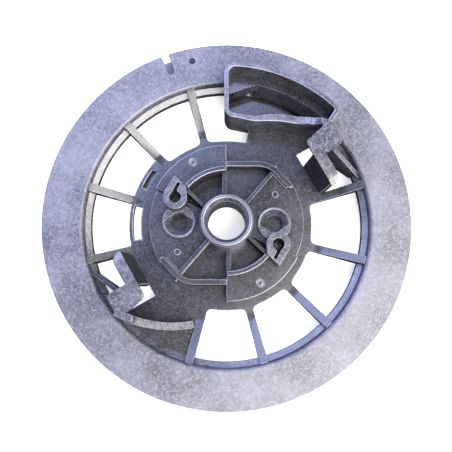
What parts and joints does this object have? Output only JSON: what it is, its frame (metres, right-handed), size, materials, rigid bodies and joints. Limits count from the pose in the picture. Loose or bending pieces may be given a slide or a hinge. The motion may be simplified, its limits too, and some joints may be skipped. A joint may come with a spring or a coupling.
{
  "type": "recoil starter pulley",
  "caption": "Flat spoked rope pulley of a recoil starter with a rope groove, knot pocket, spring cup, centre bearing boss, pawl seats and two standing hooks.",
  "frame": {"origin": "on the spin axis, in the plane of the spring cup's rear edge", "axes": "+Z along the spin axis towards the pawl side that faces the engine, +X right and +Y up when that side is looked at with the knot pocket at the upper right"},
  "size_m": [0.165, 0.165, 0.0325],
  "materials": {
    "frosted_face": "fine spark-eroded texture, black glass-filled nylon with pale fibre bloom",
    "moulded_edges": "satin black glass-filled nylon, fine grain",
    "satin_moulding": "satin black glass-filled nylon"
  },
  "bodies": {
    "root": {"front_flange": "frosted_face", "groove_drum": "frosted_face", "rear_flange": "frosted_face", "ledge_ring": "moulded_edges", "rope_exit_block": "satin_moulding", "pocket_shelf": "satin_moulding", "spokes": "satin_moulding", "hub_plate": "satin_moulding", "spring_cup_wall": "satin_moulding", "centre_boss": "moulded_edges", "pawl_floor_right": "satin_moulding", "pawl_floor_left": "satin_moulding", "pawl_boss_right": "moulded_edges", "pawl_boss_left": "moulded_edges", "raised_pad_upper": "satin_moulding", "raised_pad_lower": "satin_moulding", "arc_wall_upper": "satin_moulding", "arc_wall_lower": "satin_moulding", "curved_wall_right": "satin_moulding", "curved_wall_left": "satin_moulding", "spring_post_left": "moulded_edges", "spring_post_right": "moulded_edges", "hub_ribs": "satin_moulding", "web_right": "satin_moulding", "web_left": "satin_moulding", "anchor_plate": "satin_moulding", "anchor_wall": "satin_moulding", "pocket_wall": "moulded_edges", "pocket_floor": "satin_moulding", "pocket_ramp_wall": "moulded_edges", "hook_head_right": "moulded_edges", "hook_head_left": "moulded_edges", "hook_wall_right": "satin_moulding", "hook_wall_left": "satin_moulding", "hook_gusset_right": "moulded_edges", "hook_gusset_left": "moulded_edges", "curved_arm_left": "moulded_edges"}
  },
  "joints": []
}
